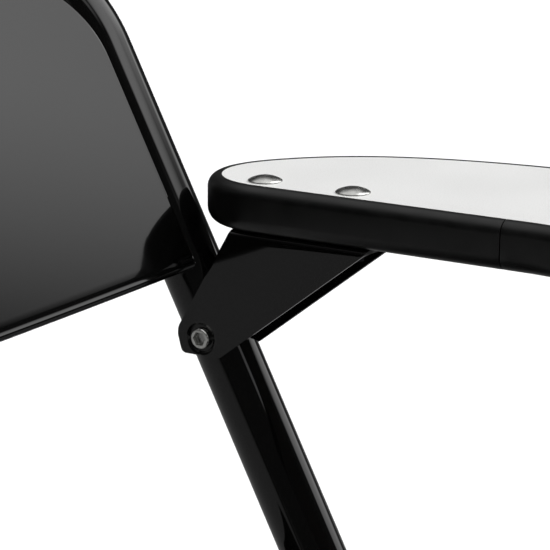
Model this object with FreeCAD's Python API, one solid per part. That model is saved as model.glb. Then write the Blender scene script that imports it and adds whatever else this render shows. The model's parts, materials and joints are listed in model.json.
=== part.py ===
import FreeCAD, Part
import math
import os

# Folding steel chair with a left-hand writing tablet, modelled open for use.
# X runs across the chair (+X is the sitter's left), -Y is its front, +Z is up.
# Everything is built with the front feet on y = 0, then moved so that the
# origin is the middle of the footprint on the floor.

os.makedirs("parts", exist_ok=True)
V = FreeCAD.Vector

# ---- driving dimensions, in millimetres and degrees ----
postLean = 28.0            # lean of the front legs and back posts from vertical
postHalfSpacing = 222.0    # centre plane to post axis
postRadius = 13.4          # 26.8 mm tube
postWall = 1.2
postLength = 855.0         # floor to the axis of the top rail, along the post
postBendRadius = 60.0
backBow = 37.0             # the top rail and the panel curve back this far at the middle
postEndAbove = 12.0        # square tube end above the floor, along the post

legRadius = 11.1           # 22.2 mm tube
legWall = 1.2
legFootBack = 462.0        # rear feet behind the front feet
legSideGap = 1.7           # between a rear leg and the hinge plate beside it
legTopAbove = 14.0         # tube end above the pivot, along the leg
legPlugDepth = 6.0
legPlugDome = 2.6
legPlugEase = 0.3          # plug's head inside the tube's outside

seatPivotAlong = 482.0     # along the post from the floor
seatSideGap = 8.6          # between the pan's flange and the post
seatAhead = 265.0          # pan edges ahead of and behind the seat pivot
seatBehind = 136.0
seatAbovePivot = 20.0
seatFlange = 32.0
seatSheet = 1.2
seatCornerRadius = 46.0
seatEdgeRadius = 9.0
seatDishRim = 32.0         # flat left between the dish and the pan's edges
seatDishDepth = 9.0

legPivotBack = 120.0       # rear leg pivot from the seat pivot
legPivotDown = 40.0
legStrapDown = 30.0        # strap pivot below the rear leg pivot, along the leg
strapPivotBelow = 64.5     # strap pivot below the seat pivot, along the post

hingePlate = 3.0
hingePlateEye = 14.0
hingePlateTop = 8.0        # upper edge below the underside of the pan
hingePlateNeck = 46.0      # start of the drop to the leg pivot, ahead of that pivot
hingePlateTrim = 2.0       # corners round the leg pivot, inside its eye's square
hingePlateRounds = (5.0, 8.0, 10.0, 4.0, 8.0, 9.0, 8.0, 6.0, 5.0)  # from the upper front corner
plateRivetsBack = (26.0, 92.0)
plateRivetAbove = 1.0
strapThickness = 3.0
strapHalfWidth = 9.0
strapEyeExtra = 1.5
strapSideGap = 2.9         # between the seat flange and the strap
pivotRivetRadius = 4.0
strapRivetRadius = 3.0
plateRivetRadius = 2.4
plateRivetHead = 1.6       # head heights
seatRivetHead = 3.0
legRivetHead = 2.4
strapPostRivetHead = 1.8
strapLegRivetHead = 2.0
pivotRivetHeadRadius = 7.5
strapRivetHeadRadius = 6.0
seatSpacerWall = 1.4
strapPostSpacerWall = 2.5
strapLegSpacerWall = 4.8
runningClearance = 0.05    # pin in a turning hole, on the radius
sameEdge = 0.01            # tolerance when points or edges are compared
toolReach = 200.0          # length of a cut that passes right through
sideClearance = 0.35       # between faces that slide past each other
strapSlack = 3.9           # clearance round the strap's rear rivet, on the radius

braceRadius = 8.0
braceWall = 1.2
frontBraceAlong = 100.0    # along the post from the floor
rearBraceHeights = (100.0, 300.0)

capWall = 2.6
capGrip = 30.0

panelSheet = 1.0
panelAboveTablet = 29.1    # lower edge above the tablet pivot, along the post
panelSeatAngle = 47.0      # where its edge bears on the post, from straight ahead
panelJoggle = 2.5          # the sheet drops this far off the post, easing out over the reach
panelJoggleReach = 25.0
panelSteps = 60            # points along half the panel's section
joggleSteps = 8
panelCornerEase = 8.0      # its upper corners turn this much tighter than the post's bend
hemHeight = 7.0
hemInset = 4.0
hemBehind = 1.4            # hem behind the sheet, in sheet thicknesses
panelGap = 0.2

tabletPivotAlong = 664.0
tabletPivotAhead = 0.8      # of the post axis
boardUnder = 49.0          # above the pivot
backerThickness = 0.6
boardThickness = 18.0
laminateThickness = 0.9
armInner = 14.2            # inner edge from the post axis, towards the sitter
armOuter = 92.0            # outer edge from the post axis, away from the sitter
tabletPostGap = 3.74       # between the edge moulding and the front of the post
armRearRadius = 30.5
tabletFront = 566.0        # ahead of the pivot
paddleInner = 212.0
flareStart = 205.0
flareEnd = 300.0
flareRounds = (90.0, 80.0) # at the arm, at the paddle
paddleRadius = 70.0
sweepEnd = 150.0
edgeProud = 5.2
edgeRoundTop = 4.4
edgeRoundLow = 5.0
barbDepth = 6.0
barbThickness = 2.0
barbClearance = 0.2

bracketGauge = 1.9
bracketRear = 14.8         # top plate's ends ahead of the pivot
bracketFront = 82.0
bracketBendRadius = 3.4
cheekEye = ((9.2, -7.6, 4.5), (-9.6, -7.6, 2.5), (-12.4, 2.2, 8))
dimpleRim = 2.5            # dimple round the pivot bolt's head
dimpleDepth = 0.9

pivotBoltRadius = 3.0
pivotHeadRadius = 4.5
pivotHeadHeight = 2.1
hexAcross = 5.0
hexDepth = 1.8
sleeveWall = 1.45
tabletBoltRadius = 3.2
rearBoltIn = 8.9           # bolts from the bracket's rear and front ends
frontBoltIn = 16.2
tabletBoltInward = 2.9
domeRadius = 7.3
domeHeight = 2.6
neckSide = 6.4
neckDepth = 5.0
neckClearance = 0.4
boltHoleClearance = 0.15
washerThickness = 1.4
washerRadius = 7.6
tabletNutFlats = 10.0
tabletNutHeight = 5.0
boltEnd = 0.5              # thread past the tablet nuts
pivotWasherRadius = 6.2
pivotNutFlats = 10.0
pivotNutHeight = 6.0
pivotNutCollar = 1.0
pivotNutCollarRadius = 4.4
pivotBoltEnd = 1.6
headChamfer = 0.5

# outer sweep of the arm behind sweepEnd: (ahead, towards the sitter)
armSweep = ((93, -88), (52, -77.5), (24.5, -62.5), (8.2, -46.5))

lean = math.radians(postLean)


# ---- small helpers ----
def cylinder(start, end, radius):
    axis = end.sub(start)
    return Part.makeCylinder(radius, axis.Length, start, axis)


def ring(start, end, outer, inner):
    return cylinder(start, end, outer).cut(cylinder(start, end, inner))


def across(x1, x2, y, z, radius):
    return cylinder(V(x1, y, z), V(x2, y, z), radius)


def acrossRing(x1, x2, y, z, outer, inner):
    return across(x1, x2, y, z, outer).cut(across(x1, x2, y, z, inner))


def onPost(x, along, ahead=0.0):
    y = along * math.sin(lean) - ahead * math.cos(lean)
    z = along * math.cos(lean) + ahead * math.sin(lean)
    return V(x, y, z)


def leaned(shape):
    shape.rotate(V(0, 0, 0), V(1, 0, 0), -postLean)
    return shape


def roundedEdges(corners, closed=True):
    """Edges of an outline whose corners (u, v, radius) are rounded by tangent arcs."""
    count = len(corners)
    entry, leave, middle = [], [], []
    for i, (u, v, radius) in enumerate(corners):
        here = V(u, v, 0)
        openEnd = not closed and i in (0, count - 1)
        if radius <= 0 or openEnd:
            entry.append(here)
            leave.append(here)
            middle.append(None)
            continue
        before = V(*corners[i - 1][:2], 0).sub(here).normalize()
        after = V(*corners[(i + 1) % count][:2], 0).sub(here).normalize()
        half = before.getAngle(after) / 2
        reach = radius / math.tan(half)
        toCentre = before.add(after).normalize()
        entry.append(here.add(before.multiply(reach)))
        leave.append(here.add(after.multiply(reach)))
        middle.append(here.add(toCentre.multiply(radius / math.sin(half) - radius)))
    edges = []
    for i in range(count):
        if middle[i] is not None:
            edges.append(Part.Arc(entry[i], middle[i], leave[i]).toShape())
        if i + 1 < count or closed:
            start, end = leave[i], entry[(i + 1) % count]
            if start.distanceToPoint(end) > sameEdge:
                edges.append(Part.makeLine(start, end))
    return edges


def roundedFace(corners):
    return Part.Face(Part.Wire(roundedEdges(corners)))


def hexPrism(point, axis, acrossFlats, height):
    reach = acrossFlats / math.sqrt(3)
    turns = [math.pi * k / 3 for k in range(7)]
    points = [V(reach * math.cos(turn), reach * math.sin(turn), 0) for turn in turns]
    prism = Part.Face(Part.makePolygon(points)).extrude(V(0, 0, height))
    prism.Placement = FreeCAD.Placement(point, FreeCAD.Rotation(V(0, 0, 1), axis))
    return prism


def dome(point, axis, radius, height):
    """A low domed head standing on point."""
    ball = (radius ** 2 + height ** 2) / (2 * height)
    cap = Part.makeSphere(ball, V(0, 0, height - ball))
    cap = cap.common(Part.makeCylinder(radius, height))
    cap.Placement = FreeCAD.Placement(point, FreeCAD.Rotation(V(0, 0, 1), axis))
    return cap


def platePlan(shape, x, thickness):
    """Turns a flat plate drawn in (forward, up) into the plane x, thickness towards +X."""
    solid = shape.extrude(V(0, 0, thickness))
    turn = FreeCAD.Matrix(0, 0, 1, x, -1, 0, 0, 0, 0, 1, 0, 0)
    return solid.transformGeometry(turn)


# ---- pivots, as (y, z) in the side view ----
seatPivot = onPost(0, seatPivotAlong)
legPivot = seatPivot.add(V(0, legPivotBack, -legPivotDown))
legFoot = V(0, legFootBack, 0)
legLine = legFoot.sub(legPivot).normalize()
legStrapPivot = legPivot.add(V(legLine).multiply(legStrapDown))
strapPivot = onPost(0, seatPivotAlong - strapPivotBelow)
tabletPivot = onPost(0, tabletPivotAlong, tabletPivotAhead)

postInside = postHalfSpacing - postRadius
postOutside = postHalfSpacing + postRadius
flangeOutside = postInside - seatSideGap
plateOutside = flangeOutside - seatSheet
plateInside = plateOutside - hingePlate
legOutside = plateInside - legSideGap
legHalfSpacing = legOutside - legRadius
strapInside = flangeOutside + strapSideGap
strapOutside = strapInside + strapThickness

bracketInside = postRadius + sideClearance
outsideCheek = bracketInside + bracketGauge
armRear = ((boardUnder + edgeRoundLow) * math.tan(lean)
           - (postRadius - tabletPivotAhead) / math.cos(lean) - edgeProud - tabletPostGap)


# ---- back and front-leg frame ----
def backFrameTube():
    h, top, r = postHalfSpacing, postLength, postBendRadius
    swing = 2 * math.atan(backBow / (h + r))   # the rail leaves each bend at this angle
    outwards = V(math.cos(swing), -math.sin(swing), 0)
    centre = V(h, 0, top - r).sub(V(outwards).multiply(r))
    middle = centre.add(V(outwards).add(V(0, 0, 1)).normalize().multiply(r))
    end = centre.add(V(0, 0, r))

    def mirrored(point):
        return V(-point.x, point.y, point.z)

    path = Part.Wire([
        Part.makeLine(V(-h, 0, postEndAbove), V(-h, 0, top - r)),
        Part.Arc(V(-h, 0, top - r), mirrored(middle), mirrored(end)).toShape(),
        Part.Arc(mirrored(end), V(0, backBow, top), end).toShape(),
        Part.Arc(end, middle, V(h, 0, top - r)).toShape(),
        Part.makeLine(V(h, 0, top - r), V(h, 0, postEndAbove)),
    ])

    def sweep(radius):
        section = Part.Wire(Part.makeCircle(radius, V(-h, 0, postEndAbove), V(0, 0, 1)))
        return path.makePipeShell([section], True, False)

    tube = leaned(sweep(postRadius).cut(sweep(postRadius - postWall)))
    for side in (-1, 1):
        for pivot, radius in ((seatPivot, pivotRivetRadius), (strapPivot, strapRivetRadius)):
            tube = tube.cut(across(side * (postInside - 2), side * (postOutside + 2),
                                   pivot.y, pivot.z, radius))
    sleeve = pivotBoltRadius + runningClearance + sleeveWall
    return tube.cut(across(postInside - 2, postOutside + 2, tabletPivot.y, tabletPivot.z, sleeve))


def backPanel():
    bear = math.radians(panelSeatAngle)
    touch = postRadius + panelSheet / 2 + panelGap
    half = postHalfSpacing - touch * math.sin(bear)

    def behind(x):
        share = abs(x) / half
        joggle = panelJoggle * (1 - math.exp(-(half - abs(x)) / panelJoggleReach))
        return backBow * (1 - share ** 2) + joggle - touch * math.cos(bear)

    steps = [half * k / panelSteps for k in range(panelSteps)]
    steps += [half - panelJoggleReach * k / joggleSteps for k in range(joggleSteps)]
    steps = sorted(set(steps) | {-x for x in steps})

    def band(front, rear, height):
        """The panel's section between two depths behind its middle, stood up from z = 0."""
        curves = []
        for depth in (front, rear):
            curve = Part.BSplineCurve()
            curve.interpolate(Points=[V(x, behind(x) + depth, 0) for x in steps])
            curves.append(curve.toShape())
        ends = [Part.makeLine(V(x, behind(x) + front, 0), V(x, behind(x) + rear, 0))
                for x in (-half, half)]
        face = Part.Face(Part.Wire(Part.__sortEdges__([curves[0], ends[1], curves[1], ends[0]])))
        return face.extrude(V(0, 0, height))

    bottom = tabletPivotAlong + panelAboveTablet
    inset = postRadius + panelGap
    top = postLength - inset
    thin = panelSheet / 2
    sheet = band(-thin, thin, top - bottom)
    hemFront = panelSheet * hemBehind - thin
    hem = band(hemFront, hemFront + panelSheet, hemHeight)
    hem = hem.fuse(band(-thin, hemFront + panelSheet, panelSheet))
    for shape in (sheet, hem):
        shape.translate(V(0, 0, bottom))
    corner = postBendRadius - panelCornerEase
    low = bottom - hemHeight
    outline = roundedFace([(-half, low, 0), (-half, top, corner), (half, top, corner),
                           (half, low, 0)])
    outline.rotate(V(0, 0, 0), V(1, 0, 0), 90)
    deep = 2 * (backBow + postRadius + hemHeight)
    keep = outline.extrude(V(0, deep, 0))
    keep.translate(V(0, -deep / 2, 0))
    side = half - hemInset
    keepHem = Part.makeBox(2 * side, deep, hemHeight, V(-side, -deep / 2, bottom))
    return leaned(sheet.common(keep).fuse(hem.common(keepHem)).removeSplitter())


def frontBrace():
    y, z = onPost(0, frontBraceAlong).y, onPost(0, frontBraceAlong).z
    brace = acrossRing(-postHalfSpacing, postHalfSpacing, y, z, braceRadius, braceRadius - braceWall)
    for side in (-1, 1):
        x = side * postHalfSpacing
        brace = brace.cut(cylinder(onPost(x, 0), onPost(x, 2 * frontBraceAlong), postRadius))
    return brace


def footCap(axisLow, axisHigh, radius, tubeEnd):
    """A rubber cap on a slanting tube: its base is flat on the floor."""
    along = axisHigh.sub(axisLow).normalize()
    below = axisLow.sub(V(along).multiply(2 * radius))
    rim = axisLow.add(V(along).multiply(tubeEnd + capGrip))
    cap = cylinder(below, rim, radius + capWall)
    bore = cylinder(axisLow.add(V(along).multiply(tubeEnd)), axisHigh, radius)
    floor = Part.makeBox(2 * toolReach, 2 * toolReach, toolReach,
                         V(axisLow.x - toolReach, axisLow.y - toolReach, -toolReach))
    return cap.cut(bore).cut(floor)


def pivotRivet(side, shankFrom, shankTo, pivot, radius, headRadius, headHeight):
    """A shank across the chair with a domed head at each end."""
    low, high = sorted((side * shankFrom, side * shankTo))
    rivet = across(low, high, pivot.y, pivot.z, radius)
    rivet = rivet.fuse(dome(V(low, pivot.y, pivot.z), V(-1, 0, 0), headRadius, headHeight))
    return rivet.fuse(dome(V(high, pivot.y, pivot.z), V(1, 0, 0), headRadius, headHeight))


def spacer(side, fromX, toX, pivot, outer, inner):
    low, high = sorted((side * fromX, side * toX))
    return acrossRing(low, high, pivot.y, pivot.z, outer, inner)


# ---- seat ----
def seatPan():
    top = seatPivot.z + seatAbovePivot
    front = seatPivot.y - seatAhead
    back = seatPivot.y + seatBehind
    middle = V(0, (front + back) / 2, 0)

    dishRadius = min(flangeOutside, (seatAhead + seatBehind) / 2) - seatDishRim

    def tray(inset):
        half = flangeOutside - inset
        radius = seatCornerRadius - inset
        face = roundedFace([(-half, front + inset, radius), (half, front + inset, radius),
                            (half, back - inset, radius), (-half, back - inset, radius)])
        block = face.extrude(V(0, 0, seatFlange - inset))
        block.translate(V(0, 0, top - seatFlange))
        rim = [edge for edge in block.Edges
               if edge.BoundBox.ZMin > top - inset - sameEdge]
        block = block.makeFillet(seatEdgeRadius - inset, rim)
        ball = (dishRadius ** 2 + seatDishDepth ** 2) / (2 * seatDishDepth)
        dish = Part.makeSphere(ball + inset, V(0, middle.y, top - seatDishDepth + ball))
        return block.cut(dish)

    pan = tray(0.0).cut(tray(seatSheet))
    for side in (-1, 1):
        low, high = sorted((side * (plateOutside - 1), side * (flangeOutside + 1)))
        pan = pan.cut(across(low, high, seatPivot.y, seatPivot.z,
                             pivotRivetRadius + runningClearance))
        for point in plateRivetPoints():
            pan = pan.cut(across(low, high, point.y, point.z, plateRivetRadius))
    return pan


def plateRivetPoints():
    return [seatPivot.add(V(0, back, plateRivetAbove)) for back in plateRivetsBack]


def hingePlateSolid(side):
    """Plate inside the seat flange that carries the seat pivot and the rear leg pivot."""
    eye = hingePlateEye
    up = seatAbovePivot - seatSheet - hingePlateTop
    lip = seatAbovePivot - seatFlange
    square = seatBehind - seatCornerRadius - 4
    trim = hingePlateTrim
    ahead = eye - trim - legPivotBack
    behind = trim - eye - legPivotBack
    sole = trim - eye - legPivotDown
    corners = [(eye, up), (eye, trim - eye), (hingePlateNeck - legPivotBack, lip - trim),
               (ahead, trim - legPivotDown), (ahead, sole), (behind, sole),
               (behind, eye - trim - legPivotDown), (-square, lip - trim), (-square, up)]
    face = roundedFace([(*corner, radius) for corner, radius in zip(corners, hingePlateRounds)])
    low = plateInside if side > 0 else -plateOutside
    plate = platePlan(face, 0, hingePlate)
    plate.translate(V(low, seatPivot.y, seatPivot.z))
    pins = [(seatPivot, pivotRivetRadius + runningClearance),
            (legPivot, pivotRivetRadius + runningClearance)]
    pins += [(point, plateRivetRadius) for point in plateRivetPoints()]
    for point, radius in pins:
        plate = plate.cut(across(low - 1, low + hingePlate + 1, point.y, point.z, radius))
    return plate


def plateRivets():
    rivets = []
    for side in (-1, 1):
        for point in plateRivetPoints():
            rivets.append(pivotRivet(side, plateInside, flangeOutside, point,
                                     plateRivetRadius, 2 * plateRivetRadius, plateRivetHead))
    return Part.Compound(rivets)


# ---- rear legs ----
def legAxis(x, along):
    return V(x, legPivot.y, legPivot.z).add(V(legLine).multiply(along))


legLength = legFoot.sub(legPivot).Length


def legBraceAlong(height):
    return (legPivot.z - height) / -legLine.z


def rearLeg(side):
    x = side * legHalfSpacing
    leg = ring(legAxis(x, -legTopAbove), legAxis(x, legLength - postEndAbove),
               legRadius, legRadius - legWall)
    for pivot, radius in ((legPivot, pivotRivetRadius), (legStrapPivot, strapRivetRadius)):
        leg = leg.cut(across(x - legRadius - 2, x + legRadius + 2, pivot.y, pivot.z, radius))
    return leg


def legPlug(side):
    x = side * legHalfSpacing
    base = legAxis(x, -legTopAbove)
    up = V(legLine).multiply(-1)
    plug = cylinder(base, legAxis(x, -legTopAbove + legPlugDepth), legRadius - legWall)
    return plug.fuse(dome(base, up, legRadius - legPlugEase, legPlugDome))


def rearBrace(height):
    along = legBraceAlong(height)
    y, z = legAxis(0, along).y, legAxis(0, along).z
    brace = acrossRing(-legHalfSpacing, legHalfSpacing, y, z, braceRadius, braceRadius - braceWall)
    for side in (-1, 1):
        x = side * legHalfSpacing
        low, high = legAxis(x, along - 2 * braceRadius), legAxis(x, along + 2 * braceRadius)
        brace = brace.cut(cylinder(low, high, legRadius))
    return brace


# ---- folding straps ----
def strap(side):
    """Flat link from the post to the rear leg; its rear hole is oversize."""
    line = legStrapPivot.sub(strapPivot)
    low = strapInside if side > 0 else -strapOutside
    high = low + strapThickness
    body = Part.makeBox(strapThickness, line.Length, 2 * strapHalfWidth, V(low, 0, -strapHalfWidth))
    body.rotate(V(0, 0, 0), V(1, 0, 0), math.degrees(math.atan2(line.z, line.y)))
    body.translate(V(0, strapPivot.y, strapPivot.z))
    for pivot in (strapPivot, legStrapPivot):
        body = body.fuse(across(low, high, pivot.y, pivot.z, strapHalfWidth + strapEyeExtra))
    for pivot, hole in ((strapPivot, strapRivetRadius + runningClearance),
                        (legStrapPivot, strapRivetRadius + strapSlack)):
        body = body.cut(across(low - 1, high + 1, pivot.y, pivot.z, hole))
    return body.removeSplitter()


# ---- tablet: drawn in (ahead, towards the sitter), from the pivot ----
def tabletOutline():
    start = (sweepEnd, -armOuter)
    corners = [(-armRear, armInner - armRearRadius, 0), (-armRear, armInner, armRearRadius),
               (flareStart, armInner, flareRounds[0]), (flareEnd, paddleInner, flareRounds[1]),
               (tabletFront, paddleInner, paddleRadius), (tabletFront, -armOuter, paddleRadius),
               (*start, 0)]
    edges = roundedEdges(corners, closed=False)
    sweep = Part.BSplineCurve()
    points = [V(*point, 0) for point in (start, *armSweep, (-armRear, armInner - armRearRadius))]
    sweep.interpolate(Points=points, InitialTangent=V(-1, 0, 0), FinalTangent=V(0, 1, 0))
    return Part.Wire(Part.__sortEdges__(edges + [sweep.toShape()]))


def tabletPlaced(shape, height):
    """Moves a shape drawn from the pivot (ahead, towards the sitter, up) onto the chair."""
    turn = FreeCAD.Matrix(0, -1, 0, postHalfSpacing, -1, 0, 0, tabletPivot.y,
                          0, 0, -1, tabletPivot.z + height)
    flipped = FreeCAD.Matrix(1, 0, 0, 0, 0, 1, 0, 0, 0, 0, -1, 0)
    return shape.transformGeometry(flipped).transformGeometry(turn)


def tabletBoltCentres():
    return [V(ahead, tabletBoltInward, 0)
            for ahead in (bracketRear + rearBoltIn, bracketFront - frontBoltIn)]


def boltHoles(low, high):
    radius = tabletBoltRadius + boltHoleClearance
    return [cylinder(c.add(V(0, 0, low)), c.add(V(0, 0, high)), radius) for c in tabletBoltCentres()]


def slab(low, thickness):
    solid = Part.Face(tabletOutline()).extrude(V(0, 0, thickness))
    solid.translate(V(0, 0, low))
    for hole in boltHoles(low - 1, low + thickness + 1):
        solid = solid.cut(hole)
    return solid


laminateLow = boardUnder + backerThickness + boardThickness
tabletTop = laminateLow + laminateThickness


def neckCuts():
    side = neckSide + boltHoleClearance
    corners = [V(c.x - side / 2, c.y - side / 2, tabletTop - neckDepth) for c in tabletBoltCentres()]
    return [Part.makeBox(side, side, neckDepth + 1, corner) for corner in corners]


def barbRing(reach, thickness):
    outline = tabletOutline()
    inner = outline.makeOffset2D(-reach)
    band = Part.Face(outline).cut(Part.Face(inner)).extrude(V(0, 0, thickness))
    band.translate(V(0, 0, boardUnder + backerThickness + (boardThickness - thickness) / 2))
    return band


def tabletBoard():
    board = slab(boardUnder + backerThickness, boardThickness)
    board = board.cut(barbRing(barbDepth + barbClearance, barbThickness + barbClearance))
    for neck in neckCuts():
        board = board.cut(neck)
    return board


def tabletLaminate():
    sheet = slab(laminateLow, laminateThickness)
    for neck in neckCuts():
        sheet = sheet.cut(neck)
    return sheet


def edgeMoulding():
    outline = tabletOutline()
    outer = outline.makeOffset2D(edgeProud)
    height = tabletTop - boardUnder
    solid = Part.Face(outer).extrude(V(0, 0, height))
    flat = [edge for edge in solid.Edges if edge.BoundBox.ZLength < sameEdge]
    solid = solid.makeFillet(edgeRoundTop, [edge for edge in flat if edge.BoundBox.ZMin > height / 2])
    flat = [edge for edge in solid.Edges if edge.BoundBox.ZMax < sameEdge]
    solid = solid.makeFillet(edgeRoundLow, flat)
    solid = solid.cut(Part.Face(outline).extrude(V(0, 0, height)))
    solid.translate(V(0, 0, boardUnder))
    return solid.fuse(barbRing(barbDepth, barbThickness)).removeSplitter()


def bracket():
    """Inverted channel: a top plate under the board and two cheeks beside the post."""
    outside = outsideCheek
    top = boardUnder
    face = roundedFace([(bracketRear, top, 0), (bracketFront, top, 0), *cheekEye])
    solid = face.extrude(V(0, 0, 2 * outside))
    solid = solid.transformGeometry(FreeCAD.Matrix(1, 0, 0, 0, 0, 0, -1, outside, 0, 1, 0, 0))
    folds = [edge for edge in solid.Edges
             if edge.BoundBox.ZMin > top - sameEdge and edge.BoundBox.YLength < sameEdge
             and edge.BoundBox.XLength > (bracketFront - bracketRear) / 2]
    solid = solid.makeFillet(bracketBendRadius, folds)
    channel = Part.makeBox(toolReach, 2 * bracketInside, toolReach,
                           V(-toolReach / 2, -bracketInside, top - bracketGauge - toolReach))
    solid = solid.cut(channel)
    solid = solid.cut(cylinder(V(0, -outside - 1, 0), V(0, outside + 1, 0), pivotBoltRadius))
    dimple = cylinder(V(0, outside - dimpleDepth, 0), V(0, outside + 1, 0),
                      pivotHeadRadius + dimpleRim)
    solid = solid.cut(dimple)
    for hole in boltHoles(top - bracketGauge - 1, top + 1):
        solid = solid.cut(hole)
    return solid


def tabletBolt(centre):
    base = centre.add(V(0, 0, tabletTop))
    end = boardUnder - bracketGauge - washerThickness - tabletNutHeight - boltEnd
    bolt = cylinder(centre.add(V(0, 0, end)), base, tabletBoltRadius)
    neckLow = tabletTop - neckDepth + neckClearance
    neck = Part.makeBox(neckSide, neckSide, neckDepth - neckClearance,
                        V(centre.x - neckSide / 2, centre.y - neckSide / 2, neckLow))
    return bolt.fuse(neck).fuse(dome(base, V(0, 0, 1), domeRadius, domeHeight)).removeSplitter()


def tabletWashers():
    high = boardUnder - bracketGauge
    return Part.Compound([ring(c.add(V(0, 0, high - washerThickness)), c.add(V(0, 0, high)),
                               washerRadius, tabletBoltRadius + boltHoleClearance)
                          for c in tabletBoltCentres()])


def tabletNuts():
    high = boardUnder - bracketGauge - washerThickness
    nuts = []
    for c in tabletBoltCentres():
        low = high - tabletNutHeight
        nut = hexPrism(c.add(V(0, 0, low)), V(0, 0, 1), tabletNutFlats, tabletNutHeight)
        thread = cylinder(c.add(V(0, 0, low - 1)), c.add(V(0, 0, high + 1)), tabletBoltRadius)
        nuts.append(nut.cut(thread))
    return Part.Compound(nuts)


boltTip = outsideCheek + washerThickness + pivotNutHeight + pivotBoltEnd


def pivotBolt():
    seatFace = outsideCheek - dimpleDepth
    face = seatFace + pivotHeadHeight
    bolt = cylinder(V(0, -boltTip, 0), V(0, seatFace, 0), pivotBoltRadius)
    head = cylinder(V(0, seatFace, 0), V(0, face, 0), pivotHeadRadius)
    rim = [edge for edge in head.Edges if abs(edge.BoundBox.YMin - face) < sameEdge
            and edge.Closed]
    head = head.makeChamfer(headChamfer, rim)
    socket = hexPrism(V(0, face + 0.5, 0), V(0, -1, 0), hexAcross, hexDepth + 0.5)
    return bolt.fuse(head).cut(socket)


def pivotWasher():
    return ring(V(0, -outsideCheek - washerThickness, 0), V(0, -outsideCheek, 0),
                pivotWasherRadius, pivotBoltRadius + 2 * runningClearance)


def pivotNut():
    near = outsideCheek + washerThickness
    far = near + pivotNutHeight
    nut = hexPrism(V(0, -near, 0), V(0, -1, 0), pivotNutFlats, pivotNutHeight)
    collar = cylinder(V(0, -far, 0), V(0, -far - pivotNutCollar, 0), pivotNutCollarRadius)
    return nut.fuse(collar).cut(cylinder(V(0, -near + 1, 0), V(0, -boltTip - 1, 0), pivotBoltRadius))


def crushSleeve():
    inner = pivotBoltRadius + runningClearance
    return acrossRing(postInside, postOutside, tabletPivot.y, tabletPivot.z, inner + sleeveWall, inner)


# ---- assembly ----
nodes = {
    "back_frame_tube": backFrameTube(),
    "back_panel": backPanel(),
    "front_cross_brace": frontBrace(),
    "tablet_pivot_sleeve": crushSleeve(),
    "seat_pan": seatPan(),
    "hinge_plate_rivets": plateRivets(),
    "rear_lower_brace": rearBrace(rearBraceHeights[0]),
    "rear_upper_brace": rearBrace(rearBraceHeights[1]),
    "tablet_backer": tabletPlaced(slab(boardUnder, backerThickness), 0),
    "tablet_board": tabletPlaced(tabletBoard(), 0),
    "tablet_laminate": tabletPlaced(tabletLaminate(), 0),
    "tablet_edge_moulding": tabletPlaced(edgeMoulding(), 0),
    "tablet_bracket": tabletPlaced(bracket(), 0),
    "tablet_bolt_washers": tabletPlaced(tabletWashers(), 0),
    "tablet_bolt_nuts": tabletPlaced(tabletNuts(), 0),
    "pivot_bolt": tabletPlaced(pivotBolt(), 0),
    "pivot_washer": tabletPlaced(pivotWasher(), 0),
    "pivot_lock_nut": tabletPlaced(pivotNut(), 0),
}
for name, centre in zip(("rear", "front"), tabletBoltCentres()):
    nodes["tablet_bolt_" + name] = tabletPlaced(tabletBolt(centre), 0)
for name, side in (("right", -1), ("left", 1)):
    post = side * postHalfSpacing
    leg = side * legHalfSpacing
    nodes["front_foot_cap_" + name] = footCap(onPost(post, 0), onPost(post, toolReach),
                                              postRadius, postEndAbove)
    nodes["rear_foot_cap_" + name] = footCap(legAxis(leg, legLength),
                                             legAxis(leg, legLength - toolReach),
                                             legRadius, postEndAbove)
    nodes["rear_leg_" + name] = rearLeg(side)
    nodes["rear_leg_plug_" + name] = legPlug(side)
    nodes["hinge_plate_" + name] = hingePlateSolid(side)
    nodes["folding_strap_" + name] = strap(side)
    nodes["seat_pivot_rivet_" + name] = pivotRivet(
        side, plateInside - sideClearance, postOutside,
        seatPivot, pivotRivetRadius, pivotRivetHeadRadius, seatRivetHead)
    nodes["seat_pivot_spacer_" + name] = spacer(
        side, flangeOutside + sideClearance, postInside,
        seatPivot, pivotRivetRadius + seatSpacerWall, pivotRivetRadius)
    nodes["leg_pivot_rivet_" + name] = pivotRivet(
        side, legOutside - 2 * legRadius, plateOutside + sideClearance,
        legPivot, pivotRivetRadius, pivotRivetHeadRadius, legRivetHead)
    nodes["strap_post_rivet_" + name] = pivotRivet(
        side, strapInside - sideClearance, postOutside,
        strapPivot, strapRivetRadius, strapRivetHeadRadius, strapPostRivetHead)
    nodes["strap_post_spacer_" + name] = spacer(
        side, strapOutside + sideClearance, postInside,
        strapPivot, strapRivetRadius + strapPostSpacerWall, strapRivetRadius)
    nodes["strap_leg_rivet_" + name] = pivotRivet(
        side, legOutside - 2 * legRadius, strapOutside + sideClearance,
        legStrapPivot, strapRivetRadius, strapRivetHeadRadius, strapLegRivetHead)
    nodes["strap_leg_spacer_" + name] = spacer(
        side, legOutside, strapInside - sideClearance,
        legStrapPivot, strapRivetRadius + strapLegSpacerWall, strapRivetRadius)

box = Part.Compound(list(nodes.values())).optimalBoundingBox(False, False)
origin = V(-box.Center.x, -box.Center.y, -box.ZMin)
for name, shape in nodes.items():
    shape.translate(origin)
    shape.exportStep("parts/" + name + ".step")

for name, point in (("seat pivot", seatPivot), ("leg pivot", legPivot), ("strap pivot", strapPivot),
                    ("leg strap pivot", legStrapPivot), ("tablet pivot", tabletPivot)):
    moved = point.add(origin)
    print(name, round(moved.y, 3), round(moved.z, 3))
print("origin moved by", round(origin.x, 3), round(origin.y, 3), round(origin.z, 3))
print("size", round(box.XLength, 1), round(box.YLength, 1), round(box.ZLength, 1))
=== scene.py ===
import json
import math
import bpy
import bmesh
import numpy as np
from mathutils import Matrix, Vector


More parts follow.
